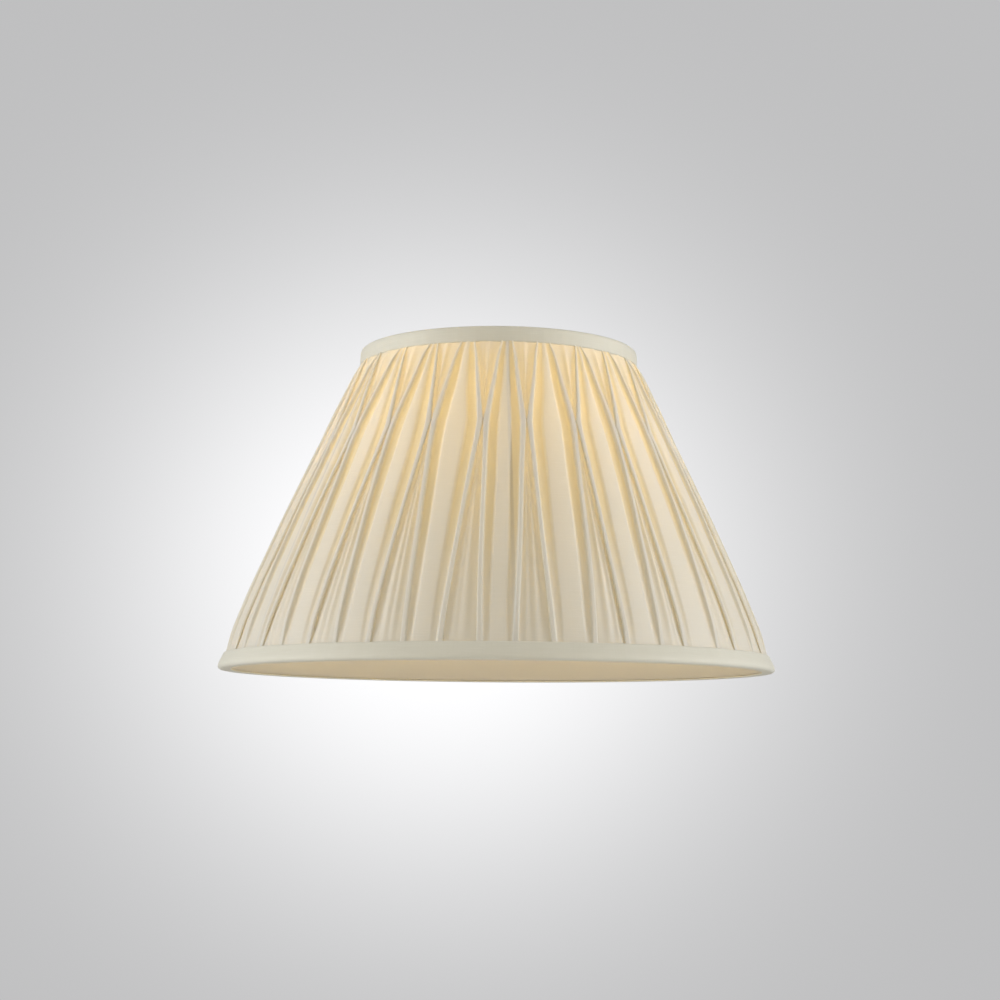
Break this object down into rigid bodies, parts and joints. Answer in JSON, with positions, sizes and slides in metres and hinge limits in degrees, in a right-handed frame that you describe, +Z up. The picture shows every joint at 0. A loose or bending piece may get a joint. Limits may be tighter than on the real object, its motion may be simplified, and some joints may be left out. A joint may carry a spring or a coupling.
{
  "type": "lamp shade",
  "caption": "Tapered fabric lamp shade with pinch pleats on a wire frame, lined, with a tilting gimbal fitter that carries it on a lampholder.",
  "frame": {"origin": "centre of the bottom rim, in the plane it rests on", "axes": "+Z up along the shade's axis, +X along the gimbal's pivot axis, -Y is the front"},
  "size_m": [0.4059, 0.406, 0.238],
  "materials": {
    "cover_fabric": "cream faux silk, plain weave with slubs, soft sheen",
    "trim_fabric": "cream faux silk cut on the bias",
    "lining_fabric": "smooth beige lining cloth",
    "binding_tape": "narrow cotton tape",
    "thread": "cream sewing thread",
    "frame_wire": "white powder coat",
    "gimbal_metal": "white powder coat",
    "rivet_steel": "zinc plated",
    "reducer_plastic": "white moulded plastic"
  },
  "bodies": {
    "shade": {"pleated_cover": "cover_fabric", "lining": "lining_fabric", "top_trim": "trim_fabric", "bottom_trim": "trim_fabric", "pinch_stitches": "thread", "top_tape": "binding_tape", "bottom_tape": "binding_tape", "top_ring": "frame_wire", "bottom_ring": "frame_wire", "strut_1": "frame_wire", "strut_2": "frame_wire", "strut_3": "frame_wire", "strut_4": "frame_wire", "strut_5": "frame_wire", "strut_6": "frame_wire", "spoke_1": "frame_wire", "spoke_2": "frame_wire", "spoke_3": "frame_wire", "spoke_4": "frame_wire", "carrier_band": "gimbal_metal", "rivet_left": "rivet_steel", "rivet_right": "rivet_steel", "washer_left": "rivet_steel", "washer_right": "rivet_steel"},
    "gimbal": {"gimbal_strap": "gimbal_metal"},
    "reducer": {"reducer_ring": "reducer_plastic"}
  },
  "joints": [
    {"name": "gimbal_pivot", "type": "hinge", "parent": "shade", "child": "gimbal", "pos_m": [0, 0, 0.21], "axis": [1, 0, 0], "continuous": true},
    {"name": "reducer_lift", "type": "slide", "parent": "gimbal", "child": "reducer", "axis": [0, 0, 1], "range_m": [0, 0.02]}
  ]
}
